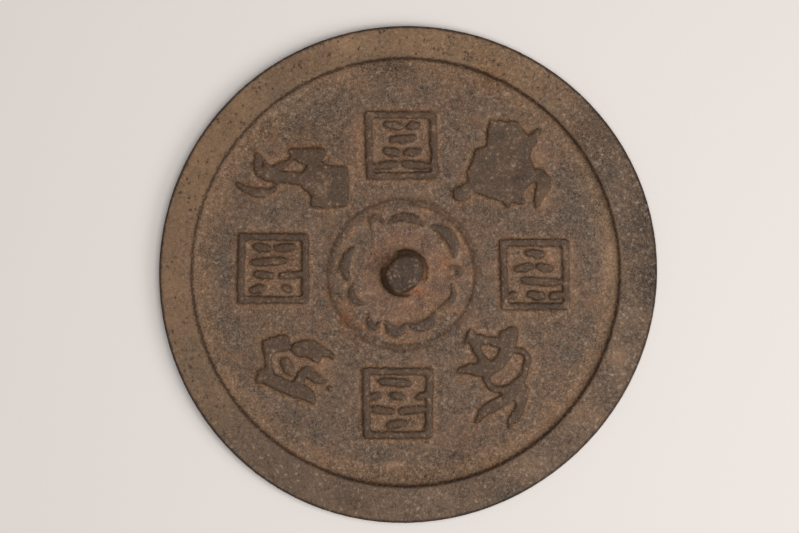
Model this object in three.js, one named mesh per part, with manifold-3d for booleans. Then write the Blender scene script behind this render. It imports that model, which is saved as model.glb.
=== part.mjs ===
// An ancient cast bronze mirror, lying with its decorated back upwards.
// One casting: a wide flat rim, a sunk field, a bored knob in the middle with a rosette around it,
// four framed panels of worn strokes and four worn figures between them.
//
// Lengths are millimetres, angles degrees, and +Z is up, with the underside at Z = 0.
// The pattern is drawn upright, x to its right and y to its top, and turned as a whole at the end,
// so that the cord hole through the knob runs along X.

import * as THREE from "three";
import { mergeVertices } from "three/addons/utils/BufferGeometryUtils.js";
import Module from "manifold-3d";

const wasm = await Module();
wasm.setup();

// ---- Driving dimensions ----

const DIAMETER = 240;
const FIELD = 3.6; // thickness of the sunk field, so its surface is at this height
const RELIEF = 1.4; // height of the figures and panels above the field
const CORD_LINE = -45; // bearing of the cord hole across the upright pattern
const ROUND_STEPS = 108; // flats around the rim and the field
const FLATNESS = 0.01; // faces that differ by less are joined

const RIM = {
  outerTop: 6.7, // the rim is slightly dished: its outer edge is the higher one
  innerTop: 6.3,
  edgeRound: 0.8, // worn rounding of the outer edge
  undercut: 0.8, // how much narrower the underside is
  // The outline was finished by hand: [waves around the edge, swell, bearing of a crest].
  waves: [
    [2, 0.53, 38],
    [3, 0.48, 11],
  ],
};

const RECESS = {
  centre: [-0.8, 0.7], // the field was cut a little off the middle
  radius: 103.7, // at the top of the step down from the rim
  step: 1.2, // drop of the steep step
  stepRun: 0.7,
  coveRun: 5.0, // the hollow slope between the step and the field
};

const KNOB = {
  centre: [-1.4, 0.4],
  baseRadius: 10.7,
  topRadius: 7.1, // of its flat top
  height: 9.4, // above the field
  topRound: 1.4, // worn rounding around the top
  collar: 2.2, // width of the fillet at its foot
  // It is longer across the cord hole than along it, and more so at its top.
  ovalFoot: 1.04,
  ovalTop: 1.25,
};

const CORD_HOLE = {
  radius: 3.2,
  height: 3.9, // of its axis above the field
  flareFrom: 5, // the cord has worn its mouths wider from this far out
  flare: 0.5, // and by this much to each side for each millimetre further
  rise: 0.15, // and by this much upwards
  sill: 0.3, // height above the field that it never reaches below
};

const ROSETTE = {
  centre: [-2.6, 0.8],
  bulge: 40, // how far a petal's ends curve in, times half its span in degrees
  tip: 0.4, // half width of a petal at its tips, as a share of that at its middle
  relief: 1.1,
  // Each petal's bearing, half its span, how far out it reaches and its half width, all uneven from wear.
  petals: [
    [84, 20, 29.2, 2.4],
    [36, 20, 32.0, 3.3],
    [0, 7, 30.6, 1.7],
    [-29, 16, 29.4, 1.9],
    [-66, 15, 31.4, 3.2],
    [-96, 11, 32.2, 3.2],
    [-119, 8, 32.4, 2.1],
    [-153, 13, 29.2, 2.3],
    [171, 19, 30.6, 2.7],
    [117, 8, 31.8, 1.9],
  ],
};

const RING = { centre: [-1.8, -0.3], radius: 35.5, halfWidth: 1.1, relief: 0.6 };

// Each panel is a raised frame, given by its corners from the upper left one anticlockwise, and rows of
// strokes inside it, from the top down. A stroke is [start, end] as shares of the opening's width.
const PANEL = {
  border: 3.9,
  cornerRound: 1.6,
  innerRound: 0.8,
  strokeHalfWidth: 2.4,
  slant: 1.0, // how much higher one end of a stroke is than the other
};

const PANELS = [
  {
    corners: [[-20.8, 79.0], [-19.9, 45.2], [15.3, 45.7], [14.1, 78.5]],
    rows: [
      [[0.24, 0.5], [0.64, 0.8]],
      [[0.34, 0.72]],
      [[0.22, 0.44], [0.58, 0.8]],
      [[0.06, 0.4], [0.54, 0.95]],
    ],
  },
  {
    corners: [[-82.0, 20.0], [-82.5, -14.5], [-47.3, -14.5], [-47.3, 19.7]],
    rows: [
      [[0.18, 0.42], [0.56, 0.86]],
      [[0.14, 0.72]],
      [[0.2, 0.48], [0.64, 0.96]],
      [[0.14, 0.34], [0.72, 0.8]],
    ],
  },
  {
    corners: [[44.2, 17.0], [45.2, -17.7], [78.9, -17.7], [78.2, 17.0]],
    rows: [
      [[0.38, 0.66]],
      [[0.18, 0.44], [0.58, 0.8]],
      [[0.3, 0.94]],
      [[0.04, 0.12], [0.38, 0.64], [0.8, 0.96]],
    ],
  },
  {
    corners: [[-22.0, -45.1], [-21.5, -79.8], [12.4, -79.8], [12.7, -45.3]],
    rows: [
      [[0.2, 0.7]],
      [[0.04, 0.16], [0.4, 0.6], [0.88, 0.96]],
      [[0.06, 0.4], [0.56, 0.94]],
      [[0.34, 0.62]],
    ],
  },
];

// The figures stand between the panels. A plate is a flat area given by its corners, and a limb is a
// chain of [x, y, half width]; both are measured from the figure's own centre.
const PLATE_ROUND = 1.1;

const FIGURES = [
  {
    // robed figure, upper right
    centre: [46, 53.3],
    plates: [
      // tall head-dress
      [[-6.6, 21.5], [7.8, 20.5], [12, 14], [15, 8.5], [12, 4], [-8, 4], [-7.7, 15]],
      // robe
      [
        [-13.6, 7.2], [-8, 8.5], [15, 9], [13.3, 2.5], [15.5, -1.5], [16, -9], [11, -12],
        [9.5, -16.5], [4, -19.5], [-3.5, -18], [-13, -14.5], [-17, -9], [-17.8, -4], [-14.5, 2],
      ],
    ],
    limbs: [
      [[13, 10, 3.2], [17.3, 15.4, 1.9]], // hand
      [[-13, -10.5, 3.4], [-20.5, -14.7, 4.2]], // foot
      [[14, -5.5, 3.6], [19, -6.5, 3.9], [19.8, -12, 3.4], [17.4, -16, 2.5], [16.6, -20.4, 1.6]], // sash
      [[1.5, -16, 3.4], [2.6, -20.9, 1.2]], // hem
      [[6, -17.2, 2.3], [9.6, -18.4, 1.7]], // shoe
    ],
  },
  {
    // seated figure on a boat-shaped cloud, upper left
    centre: [-55, 47],
    plates: [
      // head and cap
      [[-2.3, 13.9], [7.5, 14.4], [15.5, 14], [16.3, 11.5], [14, 7.5], [5, 5], [0.5, 8], [-2.3, 9]],
      // seat and robe
      [
        [7, 6.5], [14.5, 7.5], [16, 5.6], [26, 5.2], [27.2, 2], [26.7, -14.5], [15, -15.7],
        [8.5, -15], [8, -12], [8.5, -9], [4, -6], [3, 0],
      ],
    ],
    limbs: [
      [[3, -1, 3.6], [-3, -0.5, 3], [-13.5, 1, 3.1], [-17, 3, 2.6], [-17.6, 10.5, 1.5]], // long arm
      [[-11, 3, 2], [-5, 5.5, 2], [-2, 7.7, 1.6]], // sleeve
      [[-16.2, 10, 0.9], [-13, 5.5, 1.6], [-12, 2, 2]], // hand
      [[-9, -1, 2], [-7.2, -3.7, 1.1]], // knee
      [[-26.5, -3.8, 1.5], [-23, -6.2, 2], [-18, -7.7, 2.7], [-13, -7.7, 2.4], [-8.5, -5.5, 1]], // cloud
    ],
  },
  {
    // lobed flower, lower left
    centre: [-55, -46],
    plates: [
      // upper lobe
      [
        [-14.8, 14.8], [-10, 15.8], [-5, 17.3], [-1.6, 16], [-1.5, 9.2], [-5.5, 8], [-8, 8.8],
        [-10.5, 5.7], [-14.3, 6.4], [-15.4, 10.5],
      ],
      // right leaf
      [
        [-0.8, 12.8], [4, 14], [8.2, 14.7], [12, 13], [16.5, 10], [20.7, 6.8], [20.2, 4.2],
        [17, 5.2], [13.6, 6.3], [13, 2.7], [10, 3.3], [6, 5.4], [2, 6], [-2, 8.4],
      ],
    ],
    limbs: [
      [[-4, 3.5, 2.9], [-2, -0.5, 3.1], [-1.3, -2.2, 2]], // heart
      [[-12.5, 7, 2.2], [-12, 2, 1.9], [-12.5, -1, 3]], // left petal
      [[-14.5, -3, 4.1], [-16.3, -5.5, 2.3]], // left lobe
      [[-14, -3.5, 3.5], [-7, -7, 3.6], [1, -10.3, 3.8], [7.2, -12.3, 3.6], [9.6, -16, 1.4]], // stem
      [[2, -8.5, 2.4], [5.2, -1, 2.8], [9, -2.8, 3], [14, -6, 1.9], [16.4, -6, 1]], // lower leaf
      [[17.5, -9.5, 1.5], [17.9, -9.5, 1.5]], // bud
    ],
  },
  {
    // dancing figure with ribbons, lower right
    centre: [42, -50],
    plates: [
      // raised right sleeve
      [[2.5, 22], [8, 24.8], [11, 25.1], [11.9, 21.5], [11, 16], [9, 11.5], [2.5, 13.5], [1, 18]],
    ],
    limbs: [
      [[-11.3, 22.8, 1.3], [-11, 19, 3.7]], // raised left hand
      [[-11, 19, 3.6], [-13.3, 17.7, 1.9]],
      [[-10, 17.7, 3.4], [-4, 18.2, 2.4], [3, 16.7, 2.8]], // shoulders
      [[-9.5, 15.5, 2.4], [-6, 9, 2.1], [-2, 4.5, 3]], // left side
      [[6, 13, 3.6], [2.5, 7, 3.4], [-3.5, 3.5, 3.4]], // right side
      [[-5, 4.2, 3.9], [-11, 4, 3.3], [-17.6, 3.1, 1.2]], // trailing sleeve
      [[-3.7, 3, 2.4], [-3.7, -2, 2], [0, -5.5, 2], [5.5, -6, 2.3], [11, -4, 3.5]], // hip
      [[11, -4, 3.5], [14, 0.5, 2.3], [15.8, 6, 1.9], [16, 10, 2], [13.5, 12.7, 1.9], [9, 13, 1.8]], // loop
      [[12, -7, 4], [5, -10.5, 3], [-2, -14.8, 3.2], [-5, -16.5, 2.8], [-8.7, -22, 0.9]], // left ribbon
      [[14, -6, 3], [13.2, -12, 2.6], [11.5, -17, 2.6], [8.5, -21, 2.3], [7.4, -24.6, 0.9]], // right ribbon
    ],
  },
];

// ---- Tools ----

const radians = THREE.MathUtils.degToRad;

/** A closed geometry as a solid that can be joined and cut. */
function solidOf(geometry) {
  const bare = geometry.clone().deleteAttribute("normal").deleteAttribute("uv");
  const merged = mergeVertices(bare, 1e-4);
  const index = merged.index.array;
  const kept = [];
  for (let i = 0; i < index.length; i += 3) {
    const [a, b, c] = index.subarray(i, i + 3);
    if (a !== b && b !== c && c !== a) kept.push(a, b, c); // a lathe's poles leave empty triangles
  }
  const mesh = new wasm.Mesh({
    numProp: 3,
    vertProperties: merged.attributes.position.array,
    triVerts: new Uint32Array(kept),
  });
  return new wasm.Manifold(mesh);
}

/** A solid back as a flat-shaded geometry. */
function geometryOf(solid) {
  const { vertProperties, triVerts } = solid.getMesh();
  const indexed = new THREE.BufferGeometry();
  indexed.setAttribute("position", new THREE.BufferAttribute(vertProperties, 3));
  indexed.setIndex(new THREE.BufferAttribute(triVerts, 1));
  const geometry = indexed.toNonIndexed();
  geometry.computeVertexNormals();
  return geometry;
}

/** A profile of [radius, height] turned around the upright axis; it runs anticlockwise. */
function turned(profile, steps = ROUND_STEPS) {
  const points = profile.map(([r, z]) => new THREE.Vector2(r, z));
  return new THREE.LatheGeometry(points, steps).rotateX(Math.PI / 2);
}

/** Points on an ellipse's arc, from one angle to another. */
function arc([x, y], [rx, ry], from, to, steps) {
  return Array.from({ length: steps + 1 }, (_, i) => {
    const angle = radians(from + ((to - from) * i) / steps);
    return [x + rx * Math.cos(angle), y + ry * Math.sin(angle)];
  });
}

/** A flat shape raised above the field, with sloping walls; its foot is sunk into the casting. */
function raised(shape, relief, slope = 0.55) {
  const sunk = 0.4; // how deep the slope carries on below the field
  const root = 0.8; // and its upright foot below that
  const geometry = new THREE.ExtrudeGeometry(shape, {
    depth: root,
    curveSegments: 2,
    bevelThickness: relief + sunk,
    bevelSize: slope,
    bevelOffset: -slope,
    bevelSegments: 1,
  });
  return solidOf(geometry.translate(0, 0, FIELD - sunk - root));
}

/** A polygon with each corner rounded. */
function roundedPolygon(corners, round) {
  const points = corners.map(([x, y]) => new THREE.Vector2(x, y));
  const shape = new THREE.Shape();
  points.forEach((corner, i) => {
    const before = points.at(i - 1);
    const after = points[(i + 1) % points.length];
    const near = (other) => {
      const reach = Math.min(round / corner.distanceTo(other), 0.45);
      return corner.clone().lerp(other, reach);
    };
    const [start, end] = [near(before), near(after)];
    if (i === 0) shape.moveTo(start.x, start.y);
    else shape.lineTo(start.x, start.y);
    shape.quadraticCurveTo(corner.x, corner.y, end.x, end.y);
  });
  shape.closePath();
  return shape;
}

/** The outline of a round-ended limb that runs through joints, each [x, y, half width]. */
function limbShape(joints) {
  const route = new THREE.CatmullRomCurve3(joints.map((joint) => new THREE.Vector3(...joint)));
  const stations = route.getPoints(Math.max(3, Math.round((joints.length - 1) * 1.6)));
  const bearings = stations.map((_, i) => {
    const [from, to] = [stations[Math.max(i - 1, 0)], stations[Math.min(i + 1, stations.length - 1)]];
    return Math.atan2(to.y - from.y, to.x - from.x);
  });
  const around = ({ x, y, z: halfWidth }, bearing) =>
    new THREE.Vector2(x + halfWidth * Math.cos(bearing), y + halfWidth * Math.sin(bearing));
  const side = (quarter) => stations.map((station, i) => around(station, bearings[i] + quarter));
  const cap = (station, bearing) => [45, 0, -45].map((turn) => around(station, bearing - radians(turn)));
  return new THREE.Shape([
    ...side(-Math.PI / 2),
    ...cap(stations.at(-1), bearings.at(-1)),
    ...side(Math.PI / 2).reverse(),
    ...cap(stations[0], bearings[0] + Math.PI),
  ]);
}

/** A raised limb, moved to its figure's centre. */
function raisedLimb(joints, relief, [cx, cy] = [0, 0]) {
  return raised(limbShape(joints.map(([x, y, halfWidth]) => [x + cx, y + cy, halfWidth])), relief);
}

/** The polygon inside a convex one, at an even distance from its edges; corners run anticlockwise. */
function inset(corners, distance) {
  return corners.map((corner, i) => {
    const before = corners.at(i - 1);
    const after = corners[(i + 1) % corners.length];
    const unit = ([ax, ay], [bx, by]) => {
      const length = Math.hypot(bx - ax, by - ay);
      return [(bx - ax) / length, (by - ay) / length];
    };
    const [inX, inY] = unit(before, corner);
    const [outX, outY] = unit(corner, after);
    const turn = inX * outY - inY * outX; // sine of the corner's angle
    return [
      corner[0] + (distance * (outX - inX)) / turn,
      corner[1] + (distance * (outY - inY)) / turn,
    ];
  });
}

// ---- The casting ----

/** The disc with its dished rim and its slightly uneven outline. */
function blank() {
  const radius = DIAMETER / 2;
  const { outerTop, innerTop, edgeRound, undercut, waves } = RIM;
  const geometry = turned([
    [0, 0],
    [radius - undercut - 0.5, 0],
    [radius - undercut, 0.4],
    ...arc([radius - edgeRound, outerTop - edgeRound], [edgeRound, edgeRound], 0, 90, 3),
    [RECESS.radius, innerTop],
    [0, innerTop],
  ]);
  const position = geometry.attributes.position;
  for (let i = 0; i < position.count; i++) {
    const [x, y] = [position.getX(i), position.getY(i)];
    const bearing = Math.atan2(y, x);
    const swell = waves.reduce(
      (sum, [count, size, crest]) => sum + size * Math.cos(count * (bearing - radians(crest))),
      0,
    );
    const scale = 1 + swell / radius;
    position.setXY(i, x * scale, y * scale);
  }
  return solidOf(geometry);
}

/** What is cut away to sink the field: a steep step at the rim, then a hollow slope. */
function recess() {
  const { centre, radius, step, stepRun, coveRun } = RECESS;
  const coveTop = RIM.innerTop - step;
  const coveOuter = radius - stepRun;
  const cove = arc([coveOuter - coveRun, coveTop], [coveRun, coveTop - FIELD], -90, 0, 5);
  const geometry = turned([
    [0, FIELD],
    ...cove,
    [radius, RIM.innerTop],
    [radius, RIM.outerTop + 1],
    [0, RIM.outerTop + 1],
  ]);
  return solidOf(geometry.translate(...centre, 0));
}

/** The knob, a cone with a worn flat top and a collar, before it is bored. */
function knob() {
  const { centre, baseRadius, topRadius, height, topRound, collar, ovalFoot, ovalTop } = KNOB;
  const foot = [baseRadius + collar, FIELD + collar * 0.6];
  const profile = [
    [0, 1],
    [foot[0], 1],
    ...arc(foot, [collar, collar * 0.6], 270, 190, 3),
    ...arc([topRadius, FIELD + height - topRound], [topRound, topRound], 15, 90, 3),
    [0, FIELD + height],
  ];
  const geometry = turned(profile, 36);
  const position = geometry.attributes.position;
  for (let i = 0; i < position.count; i++) {
    const share = THREE.MathUtils.clamp((position.getZ(i) - FIELD) / height, 0, 1);
    position.setY(i, position.getY(i) * THREE.MathUtils.lerp(ovalFoot, ovalTop, share));
  }
  return solidOf(geometry.rotateZ(radians(CORD_LINE)).translate(...centre, 0));
}

/** The cord hole's own shape, with mouths worn wider than they are high, lying along the cord line. */
function cordHole() {
  const { radius, height, flareFrom, flare, rise, sill } = CORD_HOLE;
  const half = KNOB.baseRadius + 3.5;
  const [mouth, mouthHeight] = [flare, rise].map((slope) => radius + slope * (half - flareFrom));
  const sides = 20;
  const geometry = turned(
    [[0, -half], [mouth, -half], [radius, -flareFrom], [radius, flareFrom], [mouth, half], [0, half]],
    sides,
  );
  geometry.rotateZ(Math.PI / sides).rotateY(Math.PI / 2);
  const position = geometry.attributes.position;
  for (let i = 0; i < position.count; i++) {
    const isMouth = Math.abs(position.getX(i)) > flareFrom + 1;
    if (isMouth) position.setZ(i, position.getZ(i) * (mouthHeight / mouth));
  }
  geometry.rotateZ(radians(CORD_LINE)).translate(...KNOB.centre, FIELD + height);
  const below = new THREE.BoxGeometry(3 * half, 3 * half, FIELD + sill);
  return solidOf(geometry).subtract(solidOf(below.translate(...KNOB.centre, (FIELD + sill) / 2)));
}

/** The low ring outside the rosette. */
function ring() {
  const { centre, radius, halfWidth, relief } = RING;
  const [inner, outer] = [radius - halfWidth, radius + halfWidth];
  const geometry = turned(
    [
      [inner, FIELD - 1],
      [outer, FIELD - 1],
      [outer, FIELD],
      [outer - halfWidth * 0.5, FIELD + relief],
      [inner + halfWidth * 0.5, FIELD + relief],
      [inner, FIELD],
      [inner, FIELD - 1],
    ],
    72,
  );
  return solidOf(geometry.translate(...centre, 0));
}

/** The petals' lines around the knob, each curving outwards and thin at its ends. */
function rosette() {
  const { centre, bulge, tip, relief, petals } = ROSETTE;
  const stations = [-1, -0.5, 0, 0.5, 1]; // from one tip to the other
  return petals.map(([bearing, halfSpan, radius, halfWidth]) => {
    const joints = stations.map((t) => {
      const angle = radians(bearing + halfSpan * t);
      const reach = radius - halfWidth - (bulge / halfSpan) * t * t;
      const width = halfWidth * (tip + (1 - tip) * (1 - t * t));
      return [reach * Math.cos(angle), reach * Math.sin(angle), width];
    });
    return raisedLimb(joints, relief, centre);
  });
}

/** One panel: its frame, and its rows of strokes. */
function panel({ corners, rows }) {
  const { border, cornerRound, innerRound, strokeHalfWidth, slant } = PANEL;
  const opening = inset(corners, border);
  const frame = roundedPolygon(corners, cornerRound);
  frame.holes.push(roundedPolygon(opening, innerRound));

  const [topLeft, bottomLeft, bottomRight, topRight] = opening;
  const mix = (a, b, t) => a + (b - a) * t;
  const inside = (across, down) => [
    mix(mix(topLeft[0], topRight[0], across), mix(bottomLeft[0], bottomRight[0], across), down),
    mix(mix(topLeft[1], topRight[1], across), mix(bottomLeft[1], bottomRight[1], across), down),
  ];
  const strokes = rows.flatMap((row, r) => {
    const down = (r + 0.5) / rows.length;
    return row.map(([start, end], s) => {
      const lean = (slant / 2) * ((r + s) % 2 ? -1 : 1); // neighbours lean opposite ways
      const [x0, y0] = inside(start, down);
      const [x1, y1] = inside(end, down);
      return raisedLimb(
        [
          [x0, y0 + lean, strokeHalfWidth * 0.8],
          [(x0 + x1) / 2, (y0 + y1) / 2, strokeHalfWidth],
          [x1, y1 - lean, strokeHalfWidth * 0.8],
        ],
        RELIEF,
      );
    });
  });
  return [raised(frame, RELIEF, 0.45), ...strokes];
}

/** One figure: its plates and limbs. */
function figure({ centre: [cx, cy], plates, limbs }) {
  const moved = plates.map((corners) => corners.map(([x, y]) => [x + cx, y + cy]));
  return [
    ...moved.map((corners) => raised(roundedPolygon(corners, PLATE_ROUND), RELIEF)),
    ...limbs.map((joints) => raisedLimb(joints, RELIEF, [cx, cy])),
  ];
}

const relief = [knob(), ring(), ...rosette(), ...PANELS.flatMap(panel), ...FIGURES.flatMap(figure)];
const casting = blank()
  .subtract(recess())
  .add(wasm.Manifold.union(relief))
  .subtract(cordHole())
  .asOriginal()
  .simplify(FLATNESS);

const bronze = new THREE.MeshStandardMaterial({ color: 0x6b5846, roughness: 0.75, metalness: 0.35 });
const mirror = new THREE.Mesh(geometryOf(casting), bronze);
mirror.name = "mirror";
mirror.rotation.z = radians(-CORD_LINE);

// The origin is under the middle of the whole outline.
const middle = new THREE.Box3().setFromObject(mirror, true).getCenter(new THREE.Vector3());
mirror.position.set(-middle.x, -middle.y, 0);

const part = new THREE.Group();
part.add(mirror);

export default part;
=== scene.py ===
# %% [markdown]
# # An ancient cast bronze mirror
#
# A heavy disc of bronze lies on its polished face, so that its cast back shows: a wide flat rim, a sunk
# field with four framed panels and four worn figures, and a rosette around a knob that is bored for a cord.
# The solid casting comes from the frame. This lesson gives it the skin that long burial and handling left:
# worn arrises, a pitted surface, brown patina and tan earth in the hollows. Everything is in metres.

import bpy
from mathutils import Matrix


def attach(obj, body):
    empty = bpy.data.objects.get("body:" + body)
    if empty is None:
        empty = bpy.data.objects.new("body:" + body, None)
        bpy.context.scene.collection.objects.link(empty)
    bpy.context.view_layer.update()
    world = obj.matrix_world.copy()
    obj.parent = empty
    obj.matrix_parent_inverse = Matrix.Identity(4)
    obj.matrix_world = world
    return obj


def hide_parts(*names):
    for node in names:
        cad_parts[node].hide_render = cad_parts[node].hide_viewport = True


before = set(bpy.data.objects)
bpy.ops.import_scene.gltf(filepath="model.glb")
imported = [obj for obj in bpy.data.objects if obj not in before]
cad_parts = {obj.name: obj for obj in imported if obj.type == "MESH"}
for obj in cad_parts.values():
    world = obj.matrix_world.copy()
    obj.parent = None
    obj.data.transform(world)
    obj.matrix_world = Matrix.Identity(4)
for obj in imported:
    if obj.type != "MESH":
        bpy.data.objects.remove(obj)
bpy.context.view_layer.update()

# %% [markdown]
# ## Working by hand
#
# An operator acts on whatever is selected, so each step first leaves one piece selected. A modifier is a
# recipe that is cooked later; applying it at once keeps each step's result plain to see and to measure.

# %% Tools for working by hand
from math import cos, radians, sin, sqrt

import bpy
import numpy as np
from mathutils import Vector

MM = 0.001


def select_only(piece):
    """Leaves one piece selected and active."""
    bpy.ops.object.select_all(action="DESELECT")
    piece.select_set(True)
    bpy.context.view_layer.objects.active = piece


def work(piece, kind, **settings):
    """Puts one modifier on a piece and applies it."""
    select_only(piece)
    modifier = piece.modifiers.new(kind.title(), kind)
    for name, value in settings.items():
        setattr(modifier, name, value)
    bpy.ops.object.modifier_apply(modifier=modifier.name)


def count(piece):
    """How many triangles a piece has."""
    return sum(len(face.vertices) - 2 for face in piece.data.polygons)


# %% [markdown]
# ## Where things are on the casting
#
# The mirror's pattern is turned by an eighth of a circle in the frame, so that the cord hole runs along X.
# Places are easier to name in the upright pattern: across to its right and up to its top, in millimetres
# from the middle of the disc. These few sizes are the casting's own, and both mesh and finish use them.

# %% Sizes and places, in millimetres
PATTERN_TURN = radians(45)
PATTERN_CENTRE = (0.460, 0.092)  # where the pattern's middle lies in the frame
FIELD = 3.6  # height of the sunk field
RELIEF_TOP = 5.0  # height of panels and figures
RIM_STEP = 103.7  # radius where the rim drops to the field
COVE_FOOT = 98.0  # radius where the hollow slope below that drop meets the field
SUNK_CENTRE = (-0.8, 0.7)  # the field was cut a little off the middle
KNOB_CENTRE = (-1.4, 0.4)
RING_CENTRE = (-1.8, -0.3)  # of the low ring around the rosette
RING_RADIUS = 35.5
RIDGE_RADIUS = 32.4  # of the low ridge just inside that ring


def in_pattern(points):
    """Frame coordinates in metres as pattern coordinates in millimetres: across, up, height."""
    x, y = points[:, 0] / MM - PATTERN_CENTRE[0], points[:, 1] / MM - PATTERN_CENTRE[1]
    c, s = cos(PATTERN_TURN), sin(PATTERN_TURN)
    return np.column_stack([c * x + s * y, c * y - s * x, points[:, 2] / MM])


def in_frame(across, up, height):
    """A place in the pattern, in millimetres, as a point in the frame, in metres."""
    c, s = cos(PATTERN_TURN), sin(PATTERN_TURN)
    x = c * across - s * up + PATTERN_CENTRE[0]
    y = s * across + c * up + PATTERN_CENTRE[1]
    return Vector((x, y, height)) * MM


print("the knob's middle is at", tuple(round(c, 4) for c in in_frame(*KNOB_CENTRE, 13)))

# %% [markdown]
# ## One skin over the whole casting
#
# Rim, field, figures and knob were poured in one go, so they share one skin with no seams. It could be
# built again from primitives, but its arrises would never quite meet the solid's. Instead a copy of the
# casting is merged and remeshed into small even squares, like wax pressed over it. That rounds each arris
# by a fraction of a millimetre, as wear does, and gives the next steps points to move.

# %% The skin
SKIN_SQUARE = 0.5 * MM

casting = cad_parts["mirror"]
skin = bpy.data.objects.new("mirror_casting", casting.data.copy())
bpy.context.scene.collection.objects.link(skin)
select_only(skin)
bpy.ops.object.mode_set(mode="EDIT")
bpy.ops.mesh.select_all(action="SELECT")
bpy.ops.mesh.remove_doubles(threshold=0.001 * MM)
bpy.ops.object.mode_set(mode="OBJECT")
work(skin, "REMESH", mode="VOXEL", voxel_size=SKIN_SQUARE, use_smooth_shade=True)
print("skin of", count(skin), "triangles")

# %% [markdown]
# ## Where the wear goes
#
# The rim is smooth and crisp, the field rough, the relief rubbed flat, and the polished face below is
# untouched. A vertex group holds how strongly each point takes part in a step. Its weights come from where
# the point is: its distance from the middle of the sunk field or of the knob, and its height.

# %% Groups for the wear


def points_of(piece):
    """All points of a piece, in its own coordinates."""
    flat = np.empty(len(piece.data.vertices) * 3, np.float32)
    piece.data.vertices.foreach_get("co", flat)
    return flat.reshape(-1, 3).astype(float)


def ramp(value, low, high):
    """0 up to low, 1 from high on, and a smooth rise between; low may be the larger."""
    share = np.clip((value - low) / (high - low), 0, 1)
    return share * share * (3 - 2 * share)


def add_group(piece, name, weights, levels=12):
    """A vertex group with these weights, in a few even levels."""
    group = piece.vertex_groups.new(name=name)
    rounded = np.rint(weights * levels).astype(int)
    for level in range(1, levels + 1):
        group.add(np.flatnonzero(rounded == level).tolist(), level / levels, "REPLACE")
    print(name, "takes in", int((rounded > 0).sum()), "points")


across, up, height = in_pattern(points_of(skin)).T
from_sunk_centre = np.hypot(across - SUNK_CENTRE[0], up - SUNK_CENTRE[1])
on_back = ramp(height, 2.2, 3.2)
in_field = ramp(from_sunk_centre, COVE_FOOT + 1, COVE_FOOT - 1) * on_back
by_step = ramp(from_sunk_centre, RIM_STEP + 1.5, RIM_STEP) * on_back
on_relief = ramp(height, RELIEF_TOP - 0.5, RELIEF_TOP - 0.2) * in_field
from_knob = np.hypot(across - KNOB_CENTRE[0], up - KNOB_CENTRE[1])
add_group(skin, "ragged", np.maximum(in_field, 0.5 * by_step))
add_group(skin, "soft", np.maximum(in_field, 0.2 * by_step))
add_group(skin, "knob", ramp(from_knob, 20, 13) * on_back)
add_group(skin, "rough", np.maximum(in_field, 0.35 * on_back) * (1 - 0.6 * on_relief))

# %% [markdown]
# ## Ragged outlines and a cast surface
#
# Corrosion ate into the edges of the relief unevenly. Points are pushed sideways by two cloud patterns, one
# along each side of the mirror and neither upwards, so each outline wanders by a few tenths of a millimetre
# while the tops stay flat. Smoothing then slumps the edges, as in a soft wax pattern, and runs the knob's
# foot into its seat. Last, finer patterns push the surface in and out: a slow swell, and the sandy bumps
# that the mould left.

# %% Wear


def clouds(name, size, basis="BLENDER_ORIGINAL", depth=2):
    """A cloud pattern whose lumps are about this size."""
    pattern = bpy.data.textures.new(name, "CLOUDS")
    pattern.noise_scale = size
    pattern.noise_basis = basis
    pattern.noise_depth = depth
    return pattern


RAGGED_SIZE = 1.8 * MM
RAGGED_STRENGTH = 2.6 * MM

ragged_x = clouds("ragged edges one way", RAGGED_SIZE, depth=3)
ragged_y = clouds("ragged edges the other way", RAGGED_SIZE, basis="IMPROVED_PERLIN", depth=3)
swell = clouds("slow swell", 9 * MM, depth=1)
bumps = clouds("mould sand", 1.5 * MM, depth=3)

for ragged, direction in ((ragged_x, "X"), (ragged_y, "Y")):
    work(skin, "DISPLACE", texture=ragged, direction=direction, texture_coords="LOCAL",
         strength=RAGGED_STRENGTH, vertex_group="ragged")
work(skin, "SMOOTH", factor=0.5, iterations=12, vertex_group="soft")
work(skin, "SMOOTH", factor=0.5, iterations=40, vertex_group="knob")
for pattern, strength in ((swell, 0.25), (bumps, 0.16)):
    work(skin, "DISPLACE", texture=pattern, direction="NORMAL", texture_coords="LOCAL",
         strength=strength * MM, vertex_group="rough")
print("worn skin measures", *(round(side / MM, 1) for side in skin.dimensions), "mm")

# %% [markdown]
# ## A height map for the dirt
#
# Earth settled beside the relief and inside the panels. To know how sheltered a place is, the skin's
# heights are laid out on a square map and blurred: where the blurred relief is high but the surface is
# low, the place lies in the lee of something. A slight blur of the relief itself tells the finish where the
# figures are, with soft borders that noise can break. The map is made while the skin is still dense.

# %% Height map
CELL = 0.5  # millimetres
MAP_HALF = 125.0  # the map reaches this far from the pattern's middle
cells = int(2 * MAP_HALF / CELL)


def cell_of(coordinates):
    """The map row or column of pattern coordinates."""
    return np.clip(((coordinates + MAP_HALF) / CELL).astype(int), 0, cells - 1)


def blurred(layer, reach):
    """A map averaged over a bell with this reach, in millimetres."""
    waves = np.exp(-2 * (np.pi * reach / CELL * np.fft.fftfreq(cells)) ** 2)
    return np.fft.ifft2(np.fft.fft2(layer) * waves[:, None] * waves[None, :]).real


across, up, height = in_pattern(points_of(skin)).T
heights = np.zeros((cells, cells))
np.maximum.at(heights, (cell_of(up), cell_of(across)), height)
stands = ramp(heights, FIELD + 0.3, RELIEF_TOP - 0.3)
row, column = np.indices(stands.shape) * CELL - MAP_HALF
stands *= np.hypot(column - SUNK_CENTRE[0], row - SUNK_CENTRE[1]) < COVE_FOOT
figures = blurred(stands, 0.9)
lee = np.clip(2.4 * blurred(stands, 2.6), 0, 1) * (1 - blurred(stands, 0.6))
print("sheltered share of the map", round(float((lee > 0.3).mean()), 3))

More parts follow.
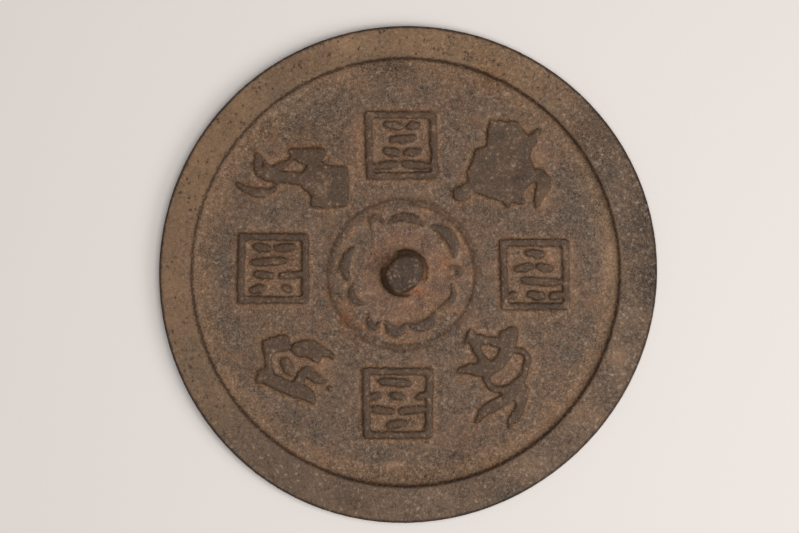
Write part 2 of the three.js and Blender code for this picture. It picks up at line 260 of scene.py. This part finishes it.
# %% [markdown]
# ## Fewer, better placed triangles
#
# The even squares are far more than the shape needs, and the flat underside holds half of them. Decimate
# takes away the triangles that change the shape least, so that those left gather along the relief. The
# edge of the polished face is too sharp to be shaded round, or the flat face would look buckled.

# %% Thinning
MOST_TRIANGLES = 190_000

select_only(skin)
skin.vertex_groups.clear()
work(skin, "DECIMATE", decimate_type="COLLAPSE", ratio=MOST_TRIANGLES / count(skin))
bpy.ops.object.shade_smooth_by_angle(angle=radians(40))
print("thinned to", count(skin), "triangles")

# %% [markdown]
# ## Layers for the finish
#
# No noise knows where this mirror was handled, spattered or stained, and without those places it would look
# like any other. They are listed one by one, as a painter's washes: each is a soft spot with its place, its
# reach, how much lighter or darker it is, and how much warmer or cooler. They are summed at each point of
# the skin, with the shelter map, in attributes that travel with the mesh.

# %% Washes and shelter
# [across, up, reach across, reach up, lighter, warmer]
WASHES = [
    # around the rim, from the top clockwise
    [-28, 111, 11, 5, 0.9, 0.1],
    [8, 110, 18, 6, 0.35, 0.1],
    [38, 101, 7, 6, -0.1, 1.0],
    [60, 98, 7, 6, 0.4, 0.0],
    [88, 70, 13, 11, -0.6, 0.5],
    [99, 50, 8, 9, -0.5, -0.5],
    [114, 26, 7, 16, -0.8, 0.0],
    [117, -4, 6, 12, -0.9, 0.0],
    [107, -22, 5, 8, 0.2, -0.3],
    [101, -40, 6, 8, 0.9, 0.3],
    [85, -68, 8, 8, 0.5, 0.3],
    [60, -92, 9, 6, 1.0, 0.0],
    [49, -107, 10, 6, -0.8, -0.9],
    [14, -109, 10, 7, 0.3, -0.5],
    [-26, -109, 9, 6, -0.4, 0.0],
    [-42, -101, 7, 5, 0.3, 0.1],
    [-84, -78, 9, 9, -0.2, -0.3],
    [-106, -45, 8, 14, -0.1, -0.4],
    [-113, -8, 7, 14, 0.3, 0.2],
    [-100, 55, 9, 16, 0.3, 0.3],
    [-78, 86, 10, 9, 0.4, 0.5],
    [-54, 99, 9, 6, 0.0, 0.3],
    # along the hollow below the rim
    [99, 8, 4, 26, 0.8, -0.4],
    [72, 68, 8, 8, 0.2, -0.2],
    [70, -69, 8, 8, -0.3, 0.0],
    [0, -99, 36, 4, -0.6, 0.1],
    [-62, -76, 10, 8, -0.2, 0.0],
    # over the field
    [-8, 100, 11, 5, -1.0, 0.1],
    [42, 93, 7, 6, -0.3, 1.0],
    [-52, 82, 20, 9, -0.1, -0.7],
    [-50, 64, 16, 8, -0.3, 1.0],
    [-24, 60, 3, 13, 0.4, 1.1],
    [25, 62, 5, 8, 0.0, -0.4],
    [14, 42, 5, 3, 0.8, 0.2],
    [30, 32, 12, 7, -0.1, 0.3],
    [80, 37, 9, 14, -0.3, -1.1],
    [91, 8, 5, 14, 0.0, -0.8],
    [82, -36, 9, 12, -0.1, -0.5],
    [64, -70, 9, 8, 0.4, -0.1],
    [34, -76, 10, 7, -0.1, 0.4],
    [24, -88, 8, 5, -0.6, 0.0],
    [-6, -92, 5, 1.4, 1.6, 0.2],
    [-48, -78, 18, 7, -0.1, -0.5],
    [-66, -66, 9, 7, 0.1, -0.3],
    [-86, -34, 7, 10, -0.1, -0.4],
    [-88, 4, 5, 12, -0.2, -0.4],
    [-70, 32, 9, 5, 0.0, -0.3],
    [-36, 15, 4, 9, -0.3, 0.4],
    [-29, -23, 5, 9, -0.1, 1.5],
    [-18, -37, 8, 4, 0.1, 0.8],
    [-40, -44, 4, 3, 0.5, 0.7],
    [64, 57, 3, 4, 0.7, 0.2],
    [66, 36, 3, 5, 0.5, 0.3],
    # on figures and panels
    [55, 46, 6, 3, -0.7, 1.4],
    [-41, 50, 6, 5, -0.5, 0.6],
    [-62, 8, 9, 7, -0.3, 0.4],
    [69, 8, 2.5, 5, 0.4, 0.8],
    [-64, -6, 4, 3, 0.4, 0.4],
    [-66, 56, 8, 8, 0.35, 0.0],
    # around the knob
    [-15, 9, 5, 5, -0.2, 0.6],
    [-9, 7, 3.5, 2.2, -0.6, 2.4],
    [2, 10, 5, 3, -0.2, 0.0],
    [18, 6, 3, 4, 0.6, 2.0],
    [10, 1, 2, 6, 0.3, 1.0],
    [5, -8.5, 4, 1.6, 0.3, 3.6],
    [12, -16, 6, 5, 0.0, 0.9],
    [24, -6, 3, 5, 0.4, 0.0],
    [-20, -8, 5, 5, 0.2, -0.1],
    [10, 21, 5, 2.5, 0.7, -0.5],
    [17, 13, 2, 2, 0.9, -0.3],
    [25, 9, 2, 3, 0.7, -0.2],
    [22, -1, 2, 2, 0.6, 0.0],
    [-12, -25.5, 1.1, 3.5, 1.2, 0.5],
    [-6, -21.3, 4, 0.9, 1.0, 0.4],
    [-31, -23, 3, 3, 0.0, 1.5],
    [-39, -8, 3, 4, 0.1, 1.2],
    [-22, -32, 4, 3, 0.0, 1.2],
]


def add_layer(piece, name, values):
    """A number for each point of a piece, which its finish can read."""
    layer = piece.data.attributes.new(name, "FLOAT", "POINT")
    layer.data.foreach_set("value", values.astype(np.float32))
    print(name, "layer from", round(float(values.min()), 2), "to", round(float(values.max()), 2))


across, up, height = in_pattern(points_of(skin)).T
on_back = ramp(height, 2.2, 3.2)
lighter, warmer = np.zeros((2, len(across)))
for x, y, reach_x, reach_y, light, warm in WASHES:
    spot = np.exp(-((across - x) / reach_x) ** 2 - ((up - y) / reach_y) ** 2) * on_back
    lighter += light * spot
    warmer += warm * spot
from_middle = np.hypot(across, up)
bearing = np.degrees(np.arctan2(up, across)).astype(int)
outline = np.zeros(361)
np.maximum.at(outline, bearing + 180, from_middle)
add_layer(skin, "shelter", lee[cell_of(up), cell_of(across)] * on_back)
add_layer(skin, "figures", figures[cell_of(up), cell_of(across)] * on_back)
add_layer(skin, "lighter", lighter)
add_layer(skin, "warmer", warmer)
add_layer(skin, "from_edge", outline[bearing + 180] - from_middle)

# %% [markdown]
# ## Painting with numbers
#
# A finish is a web of nodes. Wired by hand it soon becomes hard to read, so a signal is wrapped in a small
# class: adding or multiplying two signals adds the Math node that does it. Everything else goes through
# one method that adds any node, with its settings first and its sockets after.

# %% Signals and finishes


class Signal:
    """A number, colour or vector on its way through a finish."""

    def __init__(self, finish, socket):
        self.finish = finish
        self.socket = socket

    def maths(self, operation, *terms):
        return self.finish.node("ShaderNodeMath", {"operation": operation}, dict(enumerate(terms)))

    def __add__(self, other):
        return self.maths("ADD", self, other)

    def __sub__(self, other):
        return self.maths("SUBTRACT", self, other)

    def __rsub__(self, other):
        return self.maths("SUBTRACT", other, self)

    def __mul__(self, other):
        return self.maths("MULTIPLY", self, other)

    __radd__ = __add__
    __rmul__ = __mul__


class Finish:
    """A material under way."""

    def __init__(self, name):
        self.material = bpy.data.materials.new(name)
        self.material.use_nodes = True
        self.tree = self.material.node_tree
        self.tree.nodes.clear()

    def node(self, kind, settings=None, inputs=None, output=0):
        """Adds a node with its settings and the values or signals of its sockets."""
        added = self.tree.nodes.new(kind)
        for name, value in (settings or {}).items():
            setattr(added, name, value)
        for name, value in (inputs or {}).items():
            if isinstance(value, Signal):
                self.tree.links.new(value.socket, added.inputs[name])
            else:
                added.inputs[name].default_value = value
        return Signal(self, added.outputs[output] if added.outputs else None)

    def rise(self, value, low, high):
        """0 up to low, 1 from high on, smooth between."""
        ends = {"From Min": low, "From Max": high}
        return self.node(
            "ShaderNodeMapRange",
            {"interpolation_type": "SMOOTHSTEP"},
            {"Value": value, **ends},
        )

    def blend(self, first, second, share):
        """The first colour where share is 0, and the second where it is 1."""
        return self.node(
            "ShaderNodeMix", {"data_type": "RGBA"}, {0: share, 6: first, 7: second}, output=2
        )

    def noise(self, place, size, seed, detail=2.0, roughness=0.5):
        """Cloudy noise from 0 to 1 with lumps of this size; each seed gives another pattern."""
        shape = {"Scale": 1 / size, "Detail": detail, "Roughness": roughness, "W": seed}
        return self.node(
            "ShaderNodeTexNoise", {"noise_dimensions": "4D"}, {"Vector": place, **shape}
        )


def linear(red, green, blue):
    """A colour as seen, 0 to 255, as the light values that shaders work with."""
    seen = [channel / 255 for channel in (red, green, blue)]
    return (*(c / 12.92 if c < 0.04 else ((c + 0.055) / 1.055) ** 2.4 for c in seen), 1.0)


# %% [markdown]
# ## Old bronze
#
# Buried bronze turns brown: a thin dull crust, greyer and speckled where it is rough, darker where hands
# and cloths rubbed the raised parts smooth, and tan where earth clings in the hollows. Painted images of a
# crust would repeat and blur, so each of these is a layer of noise, placed by height, by distance from the
# middle and by shelter. First come the places and the noises that all layers share.

# %% Bronze: places and noises
bronze = Finish("old_bronze")
coordinates = bronze.node("ShaderNodeTexCoord", output="Object")
half_turn = sqrt(0.5)
origin = (
    -half_turn * (PATTERN_CENTRE[0] + PATTERN_CENTRE[1]),
    half_turn * (PATTERN_CENTRE[0] - PATTERN_CENTRE[1]),
    0.0,
)
PER_MM = 1 / MM
to_pattern = {"Location": origin, "Rotation": (0, 0, -PATTERN_TURN), "Scale": (PER_MM, PER_MM, PER_MM)}
place = bronze.node("ShaderNodeMapping", {}, {"Vector": coordinates, **to_pattern})
split = bronze.node("ShaderNodeSeparateXYZ", {}, {"Vector": place})
axes = split.socket.node.outputs
height = Signal(bronze, axes["Z"])
across = Signal(bronze, axes["X"])
upwards = Signal(bronze, axes["Y"])
flat_place = bronze.node("ShaderNodeVectorMath", {"operation": "MULTIPLY"}, {0: place, 1: (1, 1, 0)})


def away_from(x, y):
    """Distance in the pattern from a place."""
    return bronze.node(
        "ShaderNodeVectorMath", {"operation": "DISTANCE"}, {0: flat_place, 1: (x, y, 0)}, output="Value"
    )


def layer(name):
    """A number kept with the mesh."""
    return bronze.node("ShaderNodeAttribute", {"attribute_name": name}, output="Fac")


def size_of(value):
    """A number without its sign."""
    return bronze.node("ShaderNodeMath", {"operation": "ABSOLUTE"}, {0: value})


def sway(noise, amount):
    """A noise turned to swing around 0, made stronger or weaker."""
    return (noise - 0.5) * amount


radius = away_from(*SUNK_CENTRE)
from_knob = away_from(*KNOB_CENTRE)
sheltered = layer("shelter")

sand = bronze.noise(place, 0.55, seed=1, detail=1, roughness=0.5)
crumb = bronze.noise(place, 1.4, seed=6, detail=1, roughness=0.5)
grain = bronze.noise(place, 3.2, seed=2, detail=2, roughness=0.6)
patch = bronze.noise(place, 8, seed=3, detail=3, roughness=0.65)
broad = bronze.noise(place, 40, seed=4, detail=3, roughness=0.5)
print("five sizes of noise, from sand to broad patches")

# %% [markdown]
# Each zone is a mask from 0 to 1. Their borders are broken by the grain, because nothing on a corroded
# surface ends in a clean line. The step below the rim gets the darkest band of all: dirt in the crease and
# painted shade at the foot of its wall, wider at the upper left and towards the bottom. The rim's upper left
# is tan and smooth, and its right side grey and rough, so two masks cross it from side to side.

# %% Bronze: zones
wander = sway(grain, 2.2) + sway(patch, 3)
on_rim = bronze.rise(radius, RIM_STEP - 0.6, RIM_STEP + 0.3)
off_rim = 1 - on_rim
in_cove = bronze.rise(radius + wander, COVE_FOOT - 9, COVE_FOOT + 1) * off_rim
on_relief = bronze.rise(layer("figures") + sway(crumb, 1.3) + sway(grain, 1.1), 0.4, 0.65)
on_knob = bronze.rise(from_knob + sway(grain, 3), 11.4, 9.6)
on_seat = bronze.rise(from_knob + wander, 24, 19) * (1 - on_relief)
from_ring = size_of(away_from(*RING_CENTRE) - RING_RADIUS)
on_ring = bronze.rise(from_ring + sway(grain, 3), 3.2, 1.2) * bronze.rise(patch, 0.3, 0.52)
from_ridge = size_of(away_from(*RING_CENTRE) - RIDGE_RADIUS)
on_ridge = bronze.rise(from_ridge + sway(grain, 2.5), 1.5, 0.5) * bronze.rise(patch, 0.42, 0.58)
upper_left = bronze.rise(upwards * 0.75 - across * 0.65, -40, 60)
left = bronze.rise(across - upwards * 0.2, 110, -110)
earth = bronze.rise(sheltered + sway(patch, 0.9) + sway(grain, 0.5), 0.12, 0.6) * (1 - on_relief)
# Painted shade and dirt in the step below the rim: a dark band, widest at the upper left and towards the
# bottom.
step_dirt_and_shade_width = 0.45 + upper_left * 0.35 + bronze.rise(upwards, 10, -80) * 0.35
step_dirt_and_shade_width = step_dirt_and_shade_width + sway(sand, 2) + sway(crumb, 4.5) + sway(grain, 2.5)
from_step = size_of(radius - (RIM_STEP - 0.4))
in_step_dirt_and_shade = 1 - bronze.rise(from_step - step_dirt_and_shade_width, -0.4, 0.2)
# Painted dark band along the disc's outer edge: tarnish, and painted shade on the rounded arris that turns
# away from the lamps.
on_edge_tarnish_and_shade = bronze.rise(layer("from_edge") + sway(grain, 1.2), 1.7, 0.8)
underneath = bronze.rise(height, 0.35, 0.05)
print("zones of the bronze ready")

# %% [markdown]
# Colours are laid over each other zone by zone, from the field up. Then come the washes, which lighten,
# darken, warm or cool what lies below them, and turn it to rust where they are warmest. Last are the sandy
# speckle, the pits and the flecks of lime.

# %% Bronze: colours
FIELD_GREY = linear(98, 81, 67)
FIELD_BROWN = linear(103, 81, 64)
COVE_TAN = linear(114, 90, 69)
EARTH = linear(119, 90, 66)
EARTH_GREY = linear(109, 88, 71)
WORN = linear(78, 59, 43)
WORN_PALE = linear(104, 84, 66)
PETAL = linear(70, 54, 41)
SEAT_PINK = linear(114, 88, 72)
KNOB_DARK = linear(66, 49, 35)
KNOB_FLANK_EARTH_AND_LIGHT = linear(120, 92, 71)
RUST = linear(108, 68, 42)
RIM_TAN = linear(115, 91, 68)
RIM_GREY = linear(92, 75, 61)
STEP_DIRT_AND_SHADE = linear(58, 42, 31)
EDGE_TARNISH_AND_SHADE = linear(50, 38, 28)
PIT_DARK = linear(60, 46, 35)
LIME = linear(176, 160, 140)
POLISH_BROWN = linear(74, 64, 50)
POLISH_GREEN = linear(70, 74, 58)

colour = bronze.blend(FIELD_GREY, FIELD_BROWN, bronze.rise(patch * 0.7 + broad * 0.3, 0.42, 0.62))
colour = bronze.blend(colour, COVE_TAN, in_cove * 0.85)
soil = bronze.blend(EARTH, EARTH_GREY, bronze.rise(grain * 0.5 + patch * 0.5, 0.4, 0.62))
colour = bronze.blend(colour, soil, earth * 0.85)
seat = bronze.blend(SEAT_PINK, EARTH, bronze.rise(grain * 0.4 + patch * 0.6, 0.42, 0.62) * 0.6)
colour = bronze.blend(colour, seat, on_seat * 0.9)
colour = bronze.blend(colour, WORN, on_ring * 0.7)
colour = bronze.blend(colour, EARTH, on_ridge * 0.8)
worn = bronze.blend(WORN, WORN_PALE, bronze.rise(crumb * 0.4 + patch * 0.6, 0.52, 0.66) * 0.8)
worn = bronze.blend(worn, PETAL, bronze.rise(from_knob, 36, 34) * 0.8)
colour = bronze.blend(colour, worn, on_relief)
cloudy = bronze.rise(broad * 0.5 + patch * 0.5, 0.34, 0.6)
rim = bronze.blend(RIM_GREY, RIM_TAN, upper_left * 0.75 + cloudy * 0.3)
colour = bronze.blend(colour, rim, on_rim)
# The knob's flank is painted a paler tan: earth from the seat, and painted light that lifts the shade on its
# steep sides.
knob_top = bronze.rise(height + sway(crumb, 4) + sway(grain, 3), 9.5, 12.2)
knob = bronze.blend(KNOB_FLANK_EARTH_AND_LIGHT, KNOB_DARK, knob_top)
knob = bronze.blend(knob, WORN_PALE, bronze.rise(crumb * 0.5 + grain * 0.5, 0.5, 0.66) * 0.6)
colour = bronze.blend(colour, knob, on_knob)
# The step's dark band: dirt in the crease and painted shade at the foot of the rim's wall.
colour = bronze.blend(colour, STEP_DIRT_AND_SHADE, in_step_dirt_and_shade * 0.85)
colour = bronze.blend(colour, EDGE_TARNISH_AND_SHADE, on_edge_tarnish_and_shade * 0.85)

COOL_TINT = (0.96, 1.0, 1.03, 1)
WARM_TINT = (1.16, 0.97, 0.78, 1)
roughly = 1.2 + on_rim * (0.03 - left * 0.52) - on_relief * 0.3 - on_seat * 0.2
roughly = roughly - bronze.rise(patch, 0.4, 0.65) * 0.3
salt = sway(sand, roughly)
crumbs = sway(crumb, roughly)
calm = 1 - on_rim * (0.2 + left * 0.4)
warmth = 0.45 + layer("warmer") * 0.4 + (sway(patch, 0.35) + sway(grain, 0.1)) * calm
warmth = warmth - (salt + crumbs) * 0.6
colour = bronze.blend(colour, RUST, bronze.rise(warmth + (grain - 0.5), 0.9, 1.8) * 0.75)
tint = bronze.blend(COOL_TINT, WARM_TINT, warmth)
colour = bronze.node("ShaderNodeVectorMath", {"operation": "MULTIPLY"}, {0: colour, 1: tint})
# The glints are painted highlights: the pale sandy grains are brightened further, as if they caught the
# lamps.
glints = (bronze.rise(sand, 0.5, 0.75) * 0.5 + bronze.rise(crumb, 0.52, 0.75) * 0.3) * roughly
pale = 0.94 + layer("lighter") * (0.15 + patch * 0.7) + salt * 1.3 + crumbs * 0.7 + glints
pale = pale + (sway(grain, 0.8) + sway(patch, 0.9)) * calm
colour = bronze.node(
    "ShaderNodeVectorMath", {"operation": "SCALE"}, {"Vector": colour, "Scale": pale}
)
polish = bronze.blend(POLISH_BROWN, POLISH_GREEN, bronze.rise(patch * 0.5 + broad * 0.5, 0.42, 0.6))
colour = bronze.blend(colour, polish, underneath)
pitted = on_rim * (0.25 + upper_left * 0.75) + 0.15
pits = bronze.rise(crumb * 0.6 + grain * 0.4, 0.4, 0.34) * pitted * (1 - underneath)
colour = bronze.blend(colour, PIT_DARK, pits * 0.75)
limy = on_rim * (1 - upper_left) * 0.3 + 0.15 * (1 - on_rim)
flecks = bronze.rise(grain * 0.4 + crumb * 0.6, 0.58, 0.7) * limy * (1 - underneath)
colour = bronze.blend(colour, LIME, flecks)
print("bronze colours laid")

# %% [markdown]
# The same signals drive gloss and bumps, so that a pit is dark and deep at once. The crust barely
# shines, the rubbed tops a little, and the old polish underneath most.

# %% Bronze: gloss and bumps
bump_height = salt * 0.8 + crumbs * 1.2 + grain * 0.8 - pits * 0.8
bump = bronze.node(
    "ShaderNodeBump", {}, {"Strength": 1.0, "Distance": 0.1 * MM, "Height": bump_height * (1 - underneath)},
    output="Normal",
)
gloss = bronze.node(
    "ShaderNodeBsdfPrincipled",
    {},
    {
        "Base Color": colour,
        "Metallic": 0.12,
        "Specular IOR Level": 0.3,
        "Roughness": 0.66 - crumbs * 0.3 - on_relief * 0.1 - on_rim * 0.06 - underneath * 0.28,
        "Normal": bump,
    },
)
bronze.node("ShaderNodeOutputMaterial", {}, {"Surface": gloss})
skin.data.materials.clear()
skin.data.materials.append(bronze.material)
print("bronze finish has", len(bronze.tree.nodes), "nodes")

# %% [markdown]
# ## The skin stands for the solid
#
# The skin rides on the casting's only body, and the plain solid is hidden behind it.

# %% Riding on the frame
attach(skin, "root")
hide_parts("mirror")

# %% [markdown]
# ## A table to lie on
#
# The mirror lies on a smooth pale table. It is a stage piece and not part of the object, and its top is a
# hair below the polished face, because two faces at one height would flicker through each other.

# %% Table
bpy.ops.object.select_all(action="DESELECT")
bpy.ops.mesh.primitive_plane_add(size=6, location=(0, 0, -0.05 * MM))
table = bpy.context.active_object
table.name = "table"
paper = Finish("pale_table")
PALE_PAPER = linear(233, 225, 219)
cover = paper.node(
    "ShaderNodeBsdfPrincipled",
    {},
    {"Base Color": PALE_PAPER, "Roughness": 0.7, "Specular IOR Level": 0.2},
)
paper.node("ShaderNodeOutputMaterial", {}, {"Surface": cover})
table.data.materials.append(paper.material)

# %% [markdown]
# ## Soft light from above and from the right
#
# A wide soft lamp hangs nearly overhead, as in a copying stand. A second one, lower and to the right, draws
# the relief: each raised edge gets a lit side and a dark one. A dim pale room fills the shadows.

# %% Light


def soft_lamp(name, bearing, elevation, distance, size, energy):
    """A round lamp that looks at the mirror; bearing is from the pattern's right, lengths in metres."""
    data = bpy.data.lights.new(name, "AREA")
    data.shape = "DISK"
    data.size = size
    data.energy = energy
    lamp = bpy.data.objects.new(name, data)
    bpy.context.scene.collection.objects.link(lamp)
    bearing, elevation = radians(bearing), radians(elevation)
    flat = distance * cos(elevation) / MM
    lamp.location = in_frame(flat * cos(bearing), flat * sin(bearing), distance * sin(elevation) / MM)
    lamp.rotation_euler = lamp.location.to_track_quat("Z", "Y").to_euler()
    print(name, "stands", round(lamp.location.z, 2), "m above the table")


soft_lamp("overhead_lamp", bearing=-20, elevation=80, distance=1.5, size=1.3, energy=16)
soft_lamp("side_lamp", bearing=-20, elevation=38, distance=1.8, size=1.0, energy=12.6)

world = bpy.data.worlds.new("pale_room")
world.use_nodes = True
world.node_tree.nodes["Background"].inputs["Color"].default_value = (0.95, 0.97, 1.0, 1)
world.node_tree.nodes["Background"].inputs["Strength"].default_value = 0.15
bpy.context.scene.world = world
bpy.context.scene.view_settings.view_transform = "Standard"

# %% [markdown]
# ## The camera
#
# The camera looks straight down, upright with the pattern, from about 0.9 m above the rim.

# %% Camera
CAMERA_AIM = (-3.75, 3.58)  # the middle of the view, in the pattern
CAMERA_HEIGHT = 6.7 + 898

eye_data = bpy.data.cameras.new("camera")
eye_data.lens = 84
eye_data.sensor_width = 36
eye = bpy.data.objects.new("camera", eye_data)
bpy.context.scene.collection.objects.link(eye)
eye.location = in_frame(*CAMERA_AIM, CAMERA_HEIGHT)
eye.rotation_euler = (0, 0, PATTERN_TURN)
bpy.context.scene.camera = eye
